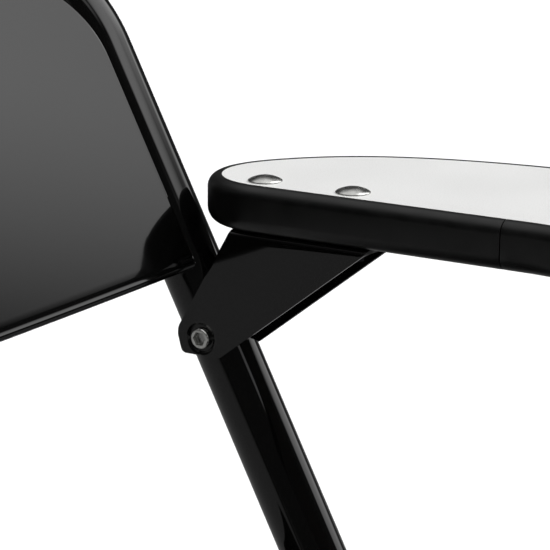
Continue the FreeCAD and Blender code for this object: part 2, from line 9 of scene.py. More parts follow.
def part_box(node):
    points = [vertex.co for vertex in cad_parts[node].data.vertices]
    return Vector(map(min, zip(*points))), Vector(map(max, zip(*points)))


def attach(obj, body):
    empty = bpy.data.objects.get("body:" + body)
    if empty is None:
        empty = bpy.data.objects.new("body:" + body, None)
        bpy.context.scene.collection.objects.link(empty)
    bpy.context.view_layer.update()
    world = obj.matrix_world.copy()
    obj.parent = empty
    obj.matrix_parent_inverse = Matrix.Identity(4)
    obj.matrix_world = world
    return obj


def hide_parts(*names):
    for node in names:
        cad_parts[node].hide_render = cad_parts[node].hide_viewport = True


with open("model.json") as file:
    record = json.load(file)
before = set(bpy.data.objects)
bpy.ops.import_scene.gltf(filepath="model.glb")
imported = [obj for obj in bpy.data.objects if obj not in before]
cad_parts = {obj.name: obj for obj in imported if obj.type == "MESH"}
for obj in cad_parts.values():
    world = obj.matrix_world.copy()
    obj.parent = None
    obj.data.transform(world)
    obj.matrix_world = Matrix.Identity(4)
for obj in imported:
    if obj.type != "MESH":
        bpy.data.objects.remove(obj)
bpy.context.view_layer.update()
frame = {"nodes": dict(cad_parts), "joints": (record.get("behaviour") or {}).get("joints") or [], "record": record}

mm = 0.001         # metres
hairline = 1e-4    # mm: keeps square roots and closed ends off zero
easeAngle = 50     # degrees: edges sharper than this are eased

# the values of each piece are in mm, or in degrees, or counts of steps
# the post stock that everything else is measured from
post = {"radius": 13.4, "leanDegrees": 28.0, "bendRadius": 60.0, "endAbove": 12.0, "backBow": 37.0,
        "tabletPivotAhead": 0.8}
lean = math.radians(post["leanDegrees"])
alongPost = Vector((0, math.sin(lean), math.cos(lean)))   # up the post
aheadOfPost = Vector((0, -math.cos(lean), math.sin(lean)))  # square to it, forwards

tubeLow, tubeHigh = (Vector(corner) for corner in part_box("back_frame_tube"))
middleX = (tubeLow.x + tubeHigh.x) / 2
postHalf = (tubeHigh.x - tubeLow.x) / 2 - post["radius"] * mm
joints = {joint["name"]: joint for joint in frame["joints"]}
tabletPivot = Vector(joints["tablet_swing"]["pos_m"])
tabletPivot.x = middleX + postHalf
axisPoint = tabletPivot - aheadOfPost * post["tabletPivotAhead"] * mm
floorPoint = axisPoint - alongPost * (axisPoint.z / math.cos(lean))


def onPost(x, along, ahead=0.0):
    # along and ahead in metres; along is measured from the floor
    point = floorPoint + alongPost * along + aheadOfPost * ahead
    return Vector((x, point.y, point.z))


# ---- materials ----
def linearColour(hexText, alpha=1.0):
    values = [int(hexText[i:i + 2], 16) / 255 for i in (1, 3, 5)]
    linear = [v / 12.92 if v <= 0.04045 else ((v + 0.055) / 1.055) ** 2.4 for v in values]
    return (*linear, alpha)


def addNode(tree, kind, settings=None, links=None):
    # settings: socket name or attribute to value; links: input name to (node, output name)
    node = tree.nodes.new(kind)
    for key, value in (settings or {}).items():
        if key in node.inputs:
            node.inputs[key].default_value = value
        else:
            setattr(node, key, value)
    for key, (source, output) in (links or {}).items():
        tree.links.new(source.outputs[output], node.inputs[key])
    return node


def newMaterial(name, settings):
    material = bpy.data.materials.new(name)
    material.use_nodes = True
    tree = material.node_tree
    shader = tree.nodes["Principled BSDF"]
    for key, value in settings.items():
        shader.inputs[key].default_value = value
    place = addNode(tree, "ShaderNodeTexCoord")
    return material, tree, shader, place


def ramp(tree, source, output, stops):
    node = addNode(tree, "ShaderNodeValToRGB", links={"Fac": (source, output)})
    elements = node.color_ramp.elements
    while len(elements) < len(stops):
        elements.new(0.5)
    for element, (position, colour) in zip(elements, stops):
        element.position = position
        element.color = colour
    return node


def grey(value):
    return (value, value, value, 1.0)


def bakedEnamel():
    # gloss black baked enamel on steel: deep black with sharp mirror images, very faint
    # orange peel about 2 mm across and a little dust
    material, tree, shader, place = newMaterial("bakedEnamel", {
        "Base Color": linearColour("#050505"), "Roughness": 0.04, "IOR": 1.5})
    peel = addNode(tree, "ShaderNodeTexNoise", {"Scale": 1 / (2.2 * mm), "Detail": 2.0},
                   {"Vector": (place, "Object")})
    wave = addNode(tree, "ShaderNodeTexNoise", {"Scale": 1 / (40 * mm), "Detail": 1.0},
                   {"Vector": (place, "Object")})
    fine = addNode(tree, "ShaderNodeBump", {"Strength": 0.05, "Distance": 0.02 * mm},
                   {"Height": (peel, "Fac")})
    bump = addNode(tree, "ShaderNodeBump", {"Strength": 0.03, "Distance": 0.3 * mm},
                   {"Height": (wave, "Fac"), "Normal": (fine, "Normal")})
    tree.links.new(bump.outputs["Normal"], shader.inputs["Normal"])
    dust = addNode(tree, "ShaderNodeTexNoise", {"Scale": 1 / (1.1 * mm), "Detail": 4.0},
                   {"Vector": (place, "Object")})
    specks = ramp(tree, dust, "Fac", [(0.0, linearColour("#040404")), (0.70, linearColour("#050505")),
                                      (0.80, linearColour("#121212"))])
    tree.links.new(specks.outputs["Color"], shader.inputs["Base Color"])
    smear = ramp(tree, wave, "Fac", [(0.3, grey(0.03)), (0.7, grey(0.06))])
    tree.links.new(smear.outputs["Color"], shader.inputs["Roughness"])
    return material


def edgeVinyl():
    # extruded PVC edge moulding: satin black with faint draw lines along its length
    material, tree, shader, place = newMaterial("edgeVinyl", {
        "Base Color": linearColour("#0a0a0a"), "Roughness": 0.34, "IOR": 1.5})
    draw = addNode(tree, "ShaderNodeMapping", {"Scale": (25.0, 25.0, 1400.0)},
                   {"Vector": (place, "Object")})
    lines = addNode(tree, "ShaderNodeTexNoise", {"Scale": 1.0, "Detail": 3.0},
                    {"Vector": (draw, "Vector")})
    scuff = addNode(tree, "ShaderNodeTexNoise", {"Scale": 1 / (9 * mm), "Detail": 5.0},
                    {"Vector": (place, "Object")})
    bump = addNode(tree, "ShaderNodeBump", {"Strength": 0.12, "Distance": 0.08 * mm},
                   {"Height": (lines, "Fac")})
    tree.links.new(bump.outputs["Normal"], shader.inputs["Normal"])
    wear = ramp(tree, scuff, "Fac", [(0.35, grey(0.30)), (0.7, grey(0.44))])
    tree.links.new(wear.outputs["Color"], shader.inputs["Roughness"])
    tone = ramp(tree, scuff, "Fac", [(0.3, linearColour("#090909")), (0.75, linearColour("#0e0e0e"))])
    tree.links.new(tone.outputs["Color"], shader.inputs["Base Color"])
    return material


def laminateTop():
    # high-pressure laminate, pressed with a fine suede texture: pale grey with a hair-fine
    # speckle 0.6 mm across and a soft sheen
    material, tree, shader, place = newMaterial("laminateTop", {
        "Base Color": linearColour("#e8e8e7"), "Roughness": 0.38, "IOR": 1.5,
        "Specular IOR Level": 0.4})
    speck = addNode(tree, "ShaderNodeTexNoise", {"Scale": 1 / (0.6 * mm), "Detail": 2.0},
                    {"Vector": (place, "Object")})
    cloud = addNode(tree, "ShaderNodeTexNoise", {"Scale": 1 / (60 * mm), "Detail": 3.0},
                    {"Vector": (place, "Object")})
    tone = ramp(tree, speck, "Fac", [(0.30, linearColour("#dededd")), (0.46, linearColour("#e8e8e7")),
                                     (0.7, linearColour("#ededec"))])
    tree.links.new(tone.outputs["Color"], shader.inputs["Base Color"])
    gloss = ramp(tree, cloud, "Fac", [(0.3, grey(0.34)), (0.7, grey(0.44))])
    tree.links.new(gloss.outputs["Color"], shader.inputs["Roughness"])
    bump = addNode(tree, "ShaderNodeBump", {"Strength": 0.08, "Distance": 0.03 * mm},
                   {"Height": (speck, "Fac")})
    tree.links.new(bump.outputs["Normal"], shader.inputs["Normal"])
    return material


def backingSheet():
    # phenolic backing sheet: dark brown, dull, with sanding lines along the board
    material, tree, shader, place = newMaterial("backingSheet", {
        "Base Color": linearColour("#2c2622"), "Roughness": 0.55, "IOR": 1.5})
    grain = addNode(tree, "ShaderNodeMapping", {"Scale": (700.0, 18.0, 700.0)},
                    {"Vector": (place, "Object")})
    lines = addNode(tree, "ShaderNodeTexNoise", {"Scale": 1.0, "Detail": 4.0},
                    {"Vector": (grain, "Vector")})
    tone = ramp(tree, lines, "Fac", [(0.3, linearColour("#241f1c")), (0.7, linearColour("#352e28"))])
    tree.links.new(tone.outputs["Color"], shader.inputs["Base Color"])
    bump = addNode(tree, "ShaderNodeBump", {"Strength": 0.15, "Distance": 0.05 * mm},
                   {"Height": (lines, "Fac")})
    tree.links.new(bump.outputs["Normal"], shader.inputs["Normal"])
    return material


def chipboard():
    # pressed wood chips, seen only inside the bolt holes
    material, tree, shader, place = newMaterial("chipboard", {
        "Base Color": linearColour("#a98a5f"), "Roughness": 0.85})
    chips = addNode(tree, "ShaderNodeTexVoronoi", {"Scale": 1 / (2.5 * mm)}, {"Vector": (place, "Object")})
    tone = ramp(tree, chips, "Distance", [(0.0, linearColour("#8c6f48")), (0.6, linearColour("#c2a477"))])
    tree.links.new(tone.outputs["Color"], shader.inputs["Base Color"])
    return material


def zincPlate():
    # bright zinc plate over turned and cold-headed steel: cool silver with soft, slightly
    # cloudy reflections and fine turning marks
    material, tree, shader, place = newMaterial("zincPlate", {
        "Base Color": linearColour("#d9d9d6"), "Metallic": 1.0, "Roughness": 0.22})
    cloud = addNode(tree, "ShaderNodeTexNoise", {"Scale": 1 / (3 * mm), "Detail": 4.0},
                    {"Vector": (place, "Object")})
    tone = ramp(tree, cloud, "Fac", [(0.3, linearColour("#c2c2bf")), (0.7, linearColour("#e6e6e3"))])
    tree.links.new(tone.outputs["Color"], shader.inputs["Base Color"])
    gloss = ramp(tree, cloud, "Fac", [(0.3, grey(0.16)), (0.75, grey(0.32))])
    tree.links.new(gloss.outputs["Color"], shader.inputs["Roughness"])
    bump = addNode(tree, "ShaderNodeBump", {"Strength": 0.1, "Distance": 0.04 * mm},
                   {"Height": (cloud, "Fac")})
    tree.links.new(bump.outputs["Normal"], shader.inputs["Normal"])
    return material


def blackOxide():
    # black oxide on nuts and washers: dark grey metal with a dull oily sheen
    material, tree, shader, place = newMaterial("blackOxide", {
        "Base Color": linearColour("#2b2b2e"), "Metallic": 1.0, "Roughness": 0.42})
    cloud = addNode(tree, "ShaderNodeTexNoise", {"Scale": 1 / (2 * mm), "Detail": 3.0},
                    {"Vector": (place, "Object")})
    tone = ramp(tree, cloud, "Fac", [(0.3, linearColour("#232326")), (0.7, linearColour("#36363a"))])
    tree.links.new(tone.outputs["Color"], shader.inputs["Base Color"])
    return material


def footRubber():
    # moulded black rubber: matt, with a fine eggshell from the mould and greyed by dust
    material, tree, shader, place = newMaterial("footRubber", {
        "Base Color": linearColour("#171717"), "Roughness": 0.7, "IOR": 1.5})
    grain = addNode(tree, "ShaderNodeTexNoise", {"Scale": 1 / (0.7 * mm), "Detail": 3.0},
                    {"Vector": (place, "Object")})
    dust = addNode(tree, "ShaderNodeTexNoise", {"Scale": 1 / (8 * mm), "Detail": 6.0},
                   {"Vector": (place, "Object")})
    tone = ramp(tree, dust, "Fac", [(0.4, linearColour("#141414")), (0.8, linearColour("#2a2928"))])
    tree.links.new(tone.outputs["Color"], shader.inputs["Base Color"])
    bump = addNode(tree, "ShaderNodeBump", {"Strength": 0.2, "Distance": 0.06 * mm},
                   {"Height": (grain, "Fac")})
    tree.links.new(bump.outputs["Normal"], shader.inputs["Normal"])
    return material


print("stage: materials")
enamel = bakedEnamel()
vinyl = edgeVinyl()
laminate = laminateTop()
backing = backingSheet()
chips = chipboard()
zinc = zincPlate()
oxide = blackOxide()
rubber = footRubber()


# ---- mesh helpers ----
def easeEdges(piece, radius, harden=True):
    ease = piece.modifiers.new("ease", "BEVEL")
    ease.width = radius * mm
    ease.segments = 2
    ease.limit_method = "ANGLE"
    ease.angle_limit = math.radians(easeAngle)
    ease.harden_normals = harden


def thicken(piece, gauge):
    # the mesh is the middle of the sheet
    sheet = piece.modifiers.new("gauge", "SOLIDIFY")
    sheet.thickness = gauge * mm
    sheet.offset = 0.0


def finishPiece(name, mesh, material, body, replaces=(), smoothAngle=40):
    piece = bpy.data.objects.new(name, mesh)
    bpy.context.collection.objects.link(piece)
    mesh.materials.append(material)
    mesh.shade_smooth()
    mesh.set_sharp_from_angle(angle=math.radians(smoothAngle))
    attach(piece, body)
    if replaces:
        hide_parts(*replaces)
    return piece


def meshFrom(name, points, faces):
    mesh = bpy.data.meshes.new(name)
    mesh.from_pydata([tuple(p) for p in points], [], faces)
    work = bmesh.new()
    work.from_mesh(mesh)
    bmesh.ops.remove_doubles(work, verts=work.verts, dist=1e-7)
    bmesh.ops.recalc_face_normals(work, faces=work.faces)
    work.to_mesh(mesh)
    work.free()
    return mesh


def ringFaces(rings, count, closed=True):
    # quads between consecutive rings of count points each
    faces = []
    for i in range(rings - 1):
        a, b = i * count, (i + 1) * count
        for j in range(count if closed else count - 1):
            k = (j + 1) % count
            faces.append((a + j, a + k, b + k, b + j))
    return faces


def turned(name, profile, centre, axis, segments):
    # profile: (radius, height) in mm, from the outside of one end to the other
    turn = Vector((0, 0, 1)).rotation_difference(Vector(axis)).to_matrix()
    points = []
    for radius, height in profile:
        for j in range(segments):
            angle = 2 * math.pi * j / segments
            local = Vector((radius * math.cos(angle), radius * math.sin(angle), height)) * mm
            points.append(Vector(centre) + turn @ local)
    faces = ringFaces(len(profile), segments)
    if profile[0][0] > hairline:
        faces.append(tuple(range(segments)))
    if profile[-1][0] > hairline:
        faces.append(tuple(range((len(profile) - 1) * segments, len(profile) * segments)))
    return meshFrom(name, points, faces)


def tubeAlong(name, path, radius, segments):
    # a round bar or tube along a path of points, kept from twisting
    tangents = []
    for i in range(len(path)):
        before = path[max(i - 1, 0)]
        after = path[min(i + 1, len(path) - 1)]
        tangents.append((after - before).normalized())
    normal = tangents[0].orthogonal().normalized()
    points = []
    for i, point in enumerate(path):
        normal = (normal - tangents[i] * normal.dot(tangents[i])).normalized()
        side = tangents[i].cross(normal)
        for j in range(segments):
            angle = 2 * math.pi * j / segments
            points.append(point + (normal * math.cos(angle) + side * math.sin(angle)) * radius * mm)
    faces = ringFaces(len(path), segments)
    faces.append(tuple(range(segments)))
    faces.append(tuple(range((len(path) - 1) * segments, len(path) * segments)))
    return meshFrom(name, points, faces)


def roundedOutline(corners, closed=True, step=1.5):
    # corners: (u, v, radius) in mm; gives points with each corner rounded by a tangent arc
    outline = []
    count = len(corners)
    for i, (u, v, radius) in enumerate(corners):
        here = Vector((u, v))
        if radius <= 0 or (not closed and i in (0, count - 1)):
            outline.append(here)
            continue
        before = (Vector(corners[i - 1][:2]) - here).normalized()
        after = (Vector(corners[(i + 1) % count][:2]) - here).normalized()
        half = before.angle(after) / 2
        centre = here + (before + after).normalized() * (radius / math.sin(half))
        start = here + before * (radius / math.tan(half)) - centre
        end = here + after * (radius / math.tan(half)) - centre
        sweep = start.angle_signed(end)
        steps = max(6, int(abs(sweep) * radius / step))
        for k in range(steps + 1):
            angle = -sweep * k / steps
            turn = Matrix.Rotation(angle, 2)
            outline.append(centre + turn @ start)
    return outline


def plateMesh(name, outline, place, thickness):
    # place(u, v, w) puts outline points on the chair; w runs through the thickness
    count = len(outline)
    points = [place(p[0], p[1], w) for w in (0.0, thickness) for p in outline]
    faces = ringFaces(2, count) + [tuple(range(count)), tuple(range(count, 2 * count))]
    return meshFrom(name, points, faces)


def clampedSpline(points, startSlope, endSlope, samples):
    # smooth curve through the points, with its end directions given
    known = np.array(points, float)
    knots = np.concatenate([[0], np.cumsum(np.linalg.norm(np.diff(known, axis=0), axis=1))])
    count = len(known)
    gaps = np.diff(knots)
    matrix = np.zeros((count, count))
    right = np.zeros((count, 2))
    matrix[0, 0] = matrix[-1, -1] = 1
    right[0], right[-1] = startSlope, endSlope
    for i in range(1, count - 1):
        a, b = gaps[i - 1], gaps[i]
        matrix[i, i - 1:i + 2] = (b, 2 * (a + b), a)
        right[i] = 3 * (a * (known[i + 1] - known[i]) / b + b * (known[i] - known[i - 1]) / a)
    slopes = np.linalg.solve(matrix, right)
    curve = []
    for t in np.linspace(0, knots[-1], samples):
        i = min(np.searchsorted(knots, t, side="right") - 1, count - 2)
        h = gaps[i]
        s = (t - knots[i]) / h
        curve.append((2 * s**3 - 3 * s**2 + 1) * known[i] + (s**3 - 2 * s**2 + s) * h * slopes[i]
                     + (3 * s**2 - 2 * s**3) * known[i + 1] + (s**3 - s**2) * h * slopes[i + 1])
    return [Vector((float(p[0]), float(p[1]))) for p in curve]


# ---- back frame and panel ----
print("stage: back frame")
frameTube = {"topAlong": 855.0, "arcSteps": 40, "straightStops": (300.0, 600.0), "segments": 96}


def framePath():
    top = frameTube["topAlong"] * mm
    bend = post["bendRadius"] * mm
    bow = post["backBow"] * mm
    swing = 2 * math.atan(bow / (postHalf + bend))  # the rail leaves each bend at this angle
    steps = frameTube["arcSteps"]
    side = []
    for k in range(steps + 1):
        angle = math.pi / 2 * k / steps
        reach = bend * (1 - math.cos(angle))
        side.append((postHalf - reach * math.cos(swing), top - bend + bend * math.sin(angle),
                     -reach * math.sin(swing)))
    endX = side[-1][0]
    radius = endX / math.sin(swing)
    rail = []
    for k in range(1, steps):
        x = endX * (1 - 2 * k / steps)
        rail.append((x, top, -bow + radius - math.sqrt(radius ** 2 - x ** 2)))
    stops = (post["endAbove"], *frameTube["straightStops"])
    half = [(postHalf, stop * mm, 0) for stop in stops] + side
    other = [(-x, along, ahead) for x, along, ahead in reversed(half)]
    return [onPost(middleX + x, along, ahead) for x, along, ahead in half + rail + other]


frameMesh = tubeAlong("backFrame", framePath(), post["radius"], frameTube["segments"])
finishPiece("backFrame", frameMesh, enamel, "frame", ["back_frame_tube"])

panel = {"sheet": 1.0, "aboveTablet": 29.1, "bearAngle": 47.0, "joggle": 2.5, "joggleReach": 25.0,
         "gap": 0.2, "cornerEase": 8.0, "hemRoll": 1.5, "hemInset": 4.0,
         "returnRows": (5.5, 3.0, 0.6), "returnLift": 0.1, "foldSteps": 12, "foldInset": 5,
         "settleRows": ((0.9, 0.30), (2.0, 0.06)), "settled": 3.2, "rowCount": 40,
         "edgeBand": 16.0, "edgeStep": 0.5, "columnCount": 110}


def panelMesh():
    bear = math.radians(panel["bearAngle"])
    touch = post["radius"] + panel["sheet"] / 2 + panel["gap"]
    half = postHalf / mm - touch * math.sin(bear)
    inset = post["radius"] + panel["gap"]
    top = frameTube["topAlong"] - inset
    corner = post["bendRadius"] - panel["cornerEase"]
    bendStart = top - corner
    bottom = (axisPoint.z / math.cos(lean)) / mm + panel["aboveTablet"]

    def ahead(x):
        joggle = panel["joggle"] * (1 - math.exp(-(half - abs(x)) / panel["joggleReach"]))
        return touch * math.cos(bear) - post["backBow"] * (1 - (x / half) ** 2) - joggle

    def halfWidth(along):
        over = along - bendStart
        if over <= 0:
            return half
        return half - corner + math.sqrt(max(corner ** 2 - over ** 2, 0))

    # rows up the sheet: (along the post, ahead of the sheet's middle, narrowed at the ends)
    roll = panel["hemRoll"]
    low = bottom + roll
    rows = [(low + lift, panel["returnLift"] - 2 * roll, True) for lift in panel["returnRows"]]
    fold = panel["foldSteps"]
    for k in range(fold + 1):  # the rolled lower edge
        angle = math.pi * k / fold
        rows.append((low - roll * math.sin(angle), -roll - roll * math.cos(angle), k < panel["foldInset"]))
    rows += [(low + lift, -back, False) for lift, back in panel["settleRows"]]
    count = panel["rowCount"]
    rows += [(along, 0.0, False) for along in np.linspace(low + panel["settled"], bendStart, count)]
    for k in range(1, count + 1):
        rise = math.sin(math.pi / 2 * k / count)
        rows.append((bendStart + (top - bendStart) * rise, 0.0, False))
    # columns across it, close together at the edges
    band = panel["edgeBand"]
    near = list(np.arange(0, band, panel["edgeStep"]))
    shares = [-1 + step / half for step in near]
    shares += list(np.linspace(-1 + band / half, 1 - band / half, panel["columnCount"]))
    shares += [1 - step / half for step in reversed(near)]
    points = []
    for along, offset, narrowed in rows:
        width = halfWidth(min(along, top - hairline)) - (panel["hemInset"] if narrowed else 0)
        for share in shares:
            x = share * width
            points.append(onPost(middleX + x * mm, along * mm, (ahead(x) + offset) * mm))
    return meshFrom("backPanel", points, ringFaces(len(rows), len(shares), closed=False))


backPanel = finishPiece("backPanel", panelMesh(), enamel, "frame", ["back_panel"],
                        smoothAngle=50)
thicken(backPanel, panel["sheet"])


# ---- tablet: (ahead of the pivot, towards the sitter, above the pivot) in mm ----
print("stage: tablet")
tablet = {"under": 49.0, "backer": 0.6, "board": 18.0, "laminate": 0.9, "inner": 14.2, "outer": 92.0,
          "rear": 5.5, "rearRadius": 30.5, "front": 566.0, "paddleInner": 212.0, "flareStart": 205.0,
          "flareEnd": 300.0, "flareRadius": 90.0, "paddleFlare": 80.0, "paddleRadius": 70.0,
          "sweepEnd": 150.0, "sweep": ((93, -88), (52, -77.5), (24.5, -62.5), (8.2, -46.5)),
          "sweepSamples": 90}
tabletTop = tablet["under"] + tablet["backer"] + tablet["board"] + tablet["laminate"]


def onTablet(ahead, inward, up):
    return Vector((tabletPivot.x - inward * mm, tabletPivot.y - ahead * mm, tabletPivot.z + up * mm))


def tabletOutline():
    t = tablet
    rearEdge = (-t["rear"], t["inner"] - t["rearRadius"])
    sweepStart = (t["sweepEnd"], -t["outer"])
    corners = [(*rearEdge, 0), (-t["rear"], t["inner"], t["rearRadius"]),
               (t["flareStart"], t["inner"], t["flareRadius"]),
               (t["flareEnd"], t["paddleInner"], t["paddleFlare"]),
               (t["front"], t["paddleInner"], t["paddleRadius"]),
               (t["front"], -t["outer"], t["paddleRadius"]), (*sweepStart, 0)]
    sweep = clampedSpline([sweepStart, *t["sweep"], rearEdge], (-1, 0), (0, 1), t["sweepSamples"])
    return roundedOutline(corners, closed=False) + sweep[1:-1]


outline = tabletOutline()


def outlineSteps(outline, start, tries):
    # gives a function for the point at a distance round the closed outline, the distance
    # of the point nearest to start, and the whole length
    loop = outline + [outline[0]]
    spans = [(after - before).length for before, after in zip(loop, loop[1:])]
    lengths = np.concatenate([[0], np.cumsum(spans)])
    total = lengths[-1]

    def at(distance):
        distance %= total
        i = min(int(np.searchsorted(lengths, distance, side="right")) - 1, len(outline) - 1)
        share = (distance - lengths[i]) / (lengths[i + 1] - lengths[i])
        return loop[i].lerp(loop[i + 1], share)

    candidates = np.linspace(0, total, tries, endpoint=False)
    first = min(candidates, key=lambda distance: (at(distance) - Vector(start)).length)
    return at, first, total


moulding = {"proud": 5.2, "lipOver": 0.8, "lipHeight": 0.3, "lipRun": 0.25, "lipStart": 0.6,
            "topRound": 5.4, "lowRound": 6.2, "topSteps": 10, "lowSteps": 14, "lowLip": 0.05,
            "seatLow": 0.3, "seatTop": 0.1, "seamAhead": 140.0, "seamGap": 0.45, "seamTries": 4000,
            "endEase": 0.25, "step": 2.0, "aim": 0.6}


def mouldingProfile():
    # (outwards from the board edge, up from the underside) round the D, then back inside
    m = moulding
    top = tabletTop - tablet["under"]
    lip = top + m["lipHeight"]
    profile = [(-m["lipOver"], top), (-m["lipOver"], top + m["lipHeight"] * m["lipStart"]),
               (-m["lipOver"] + m["lipRun"], lip)]
    for k in range(m["topSteps"] + 1):
        angle = math.pi / 2 * (1 - k / m["topSteps"])
        profile.append((m["proud"] * math.cos(angle), lip - m["topRound"] * (1 - math.sin(angle))))
    for k in range(m["lowSteps"] + 1):
        angle = math.pi / 2 * k / m["lowSteps"]
        profile.append((m["proud"] * math.cos(angle), m["lowRound"] * (1 - math.sin(angle))))
    profile += [(-m["lipOver"], 0.0), (-m["lipOver"], -m["lowLip"]), (0.0, m["seatLow"])]
    profile += [(0.0, top / 2), (0.0, top - m["seatTop"])]
    return profile


def mouldingMesh():
    m = moulding
    at, first, total = outlineSteps(outline, (m["seamAhead"], tablet["inner"]), m["seamTries"])
    run = total - m["seamGap"]
    steps = int(run / m["step"])
    profile = mouldingProfile()
    points = []
    stations = [first + m["seamGap"] / 2 + run * k / steps for k in range(steps + 1)]
    for distance in stations:
        here = at(distance)
        tangent = at(distance + m["aim"]) - at(distance - m["aim"])
        outwards = Vector((-tangent[1], tangent[0])).normalized()
        atCut = distance in (stations[0], stations[-1])
        ease = m["endEase"] if atCut else 0.0  # the cut ends are slightly rounded over
        for out, up in profile:
            place = here + outwards * (out - (ease if out > 1 else 0))
            points.append(onTablet(place[0], place[1], tablet["under"] + up))
    count = len(profile)
    faces = ringFaces(len(stations), count)
    faces += [tuple(range(count)), tuple(range((len(stations) - 1) * count, len(stations) * count))]
    return meshFrom("edgeMoulding", points, faces)


def slabMesh(name, low, thickness):
    return plateMesh(name, outline, lambda u, v, w: onTablet(u, v, low + w), thickness)


boardLow = tablet["under"] + tablet["backer"]
laminateLow = boardLow + tablet["board"]
slabs = {"laminateSheet": (laminateLow, "laminate", laminate, "laminate", "tablet_laminate"),
         "boardCore": (boardLow, "board", chips, "chipboard", "tablet_board"),
         "backingUnder": (tablet["under"], "backer", backing, "backing_sheet", "tablet_backer")}
for name, (low, part, material, slotName, node) in slabs.items():
    finishPiece(name, slabMesh(name, low, tablet[part]), material, "tablet", [node])
finishPiece("edgeMoulding", mouldingMesh(), vinyl, "tablet", ["tablet_edge_moulding"],
            smoothAngle=50)

# ---- tablet bracket: a folded channel ----
print("stage: bracket and bolts")
bracket = {"inside": 13.75, "gauge": 1.9, "rear": 14.8, "front": 82.0, "bend": 3.4, "dimple": 7.0,
           "dimpleDepth": 0.9, "dimpleLip": 0.5, "dimpleSlope": 1.5, "sheared": 0.35,
           "eye": ((9.2, -7.6, 4.5), (-9.6, -7.6, 2.5), (-12.4, 2.2, 8)), "outlineStep": 0.4,
           "lowest": 0.02, "fineUpTo": 12.0, "fineStep": 0.55, "rowStep": 2.0, "bendSteps": 8,
           "topRows": 6, "columns": 72, "topMargin": 0.1}
boltHead = {"radius": 4.5, "height": 2.1, "hexAcross": 5.0, "hexDepth": 2.0, "sunk": 0.2,
            "rim": ((0.0, 0.8), (0.12, 0.4), (0.4, 0.1), (0.75, 0.0)),
            "socket": ((0.32, 0.0), (0.1, 0.15), (0.0, 0.4)), "drillPoint": 0.8, "segments": 72}
shank = {"radius": 3.0, "tipRadius": 2.4, "length": 40.0, "tip": 1.0, "segments": 32}


def cheekOutline():
    b = bracket
    corners = [(b["rear"], tablet["under"], 0), (b["front"], tablet["under"], 0), *b["eye"]]
    return roundedOutline(corners, step=b["outlineStep"])


def cheekSpan(edge, height):
    # front and rear limits of the cheek at a height, from its outline
    hits = []
    for a, b in zip(edge, edge[1:] + edge[:1]):
        if (a[1] - height) * (b[1] - height) <= 0 and a[1] != b[1]:
            share = (height - a[1]) / (b[1] - a[1])
            hits.append(a[0] + (b[0] - a[0]) * share)
    return min(hits), max(hits)


def bracketMesh():
    b = bracket
    middle = b["inside"] + b["gauge"] / 2      # mid-plane of the sheet
    bend = b["bend"] - b["gauge"] / 2
    topPlane = tablet["under"] - b["gauge"] / 2
    edge = cheekOutline()
    low = min(point[1] for point in edge) + b["lowest"]
    # rows from one cheek's lower end, over the top and down the other: (inward, height)
    heights = list(np.arange(low, b["fineUpTo"], b["fineStep"]))
    heights += list(np.arange(b["fineUpTo"], topPlane - bend, b["rowStep"]))
    rows = [(middle, height) for height in heights]
    for k in range(b["bendSteps"]):
        angle = math.pi / 2 * k / b["bendSteps"]
        rows.append((middle - bend * (1 - math.cos(angle)), topPlane - bend * (1 - math.sin(angle))))
    rows += [(float(inward), topPlane) for inward in np.linspace(middle - bend, 0, b["topRows"])]
    rows += [(-inward, height) for inward, height in reversed(rows[:-1])]
    points = []
    for inward, height in rows:
        rear, front = cheekSpan(edge, min(height, tablet["under"] - b["topMargin"]))
        for ahead in np.linspace(rear, front, b["columns"] + 1):
            sunk = 0.0
            if inward == middle:
                away = math.hypot(ahead, height)
                share = min(1.0, max(0.0, (b["dimple"] + b["dimpleLip"] - away) / b["dimpleSlope"]))
                sunk = b["dimpleDepth"] * share * share * (3 - 2 * share)
            points.append(onTablet(ahead, inward - sunk, height))
    return meshFrom("tabletBracket", points, ringFaces(len(rows), b["columns"] + 1, closed=False))


tabletBracket = finishPiece("tabletBracket", bracketMesh(), enamel, "tablet",
                            ["tablet_bracket"], smoothAngle=50)
thicken(tabletBracket, bracket["gauge"])
easeEdges(tabletBracket, bracket["sheared"], harden=False)


def socketHead(name, centre, axis):
    # a cylinder head with a chamfered rim and a six-sided socket
    head = boltHead
    segments = head["segments"]
    turn = Vector((0, 0, 1)).rotation_difference(Vector(axis)).to_matrix()
    radius, height = head["radius"], head["height"]
    floor = height - head["hexDepth"]
    outer = [(radius, -head["sunk"])] + [(radius - inset, height - drop) for inset, drop in head["rim"]]
    socket = [(grow, height - drop) for grow, drop in head["socket"]] + [(0.0, floor)]
    angles = [2 * math.pi * j / segments for j in range(segments)]
    points = []
    for reach, up in outer:
        points += [(reach * math.cos(angle), reach * math.sin(angle), up) for angle in angles]
    for grow, up in socket:
        for angle in angles:
            local = (angle + math.pi / 6) % (math.pi / 3) - math.pi / 6
            reach = (head["hexAcross"] / 2 + grow) / math.cos(local)
            points.append((reach * math.cos(angle), reach * math.sin(angle), up))
    points.append((0, 0, floor - head["drillPoint"]))
    placed = [Vector(centre) + turn @ (Vector(point) * mm) for point in points]
    rings = len(outer) + len(socket)
    faces = ringFaces(rings, segments)
    last = (rings - 1) * segments
    for j in range(segments):
        faces.append((last + j, last + (j + 1) % segments, len(points) - 1))
    return meshFrom(name, placed, faces)


def boltShank(name, centre):
    profile = [(shank["radius"], 0), (shank["radius"], shank["length"]),
               (shank["tipRadius"], shank["length"] + shank["tip"])]
    return turned(name, profile, centre, (1, 0, 0), shank["segments"])


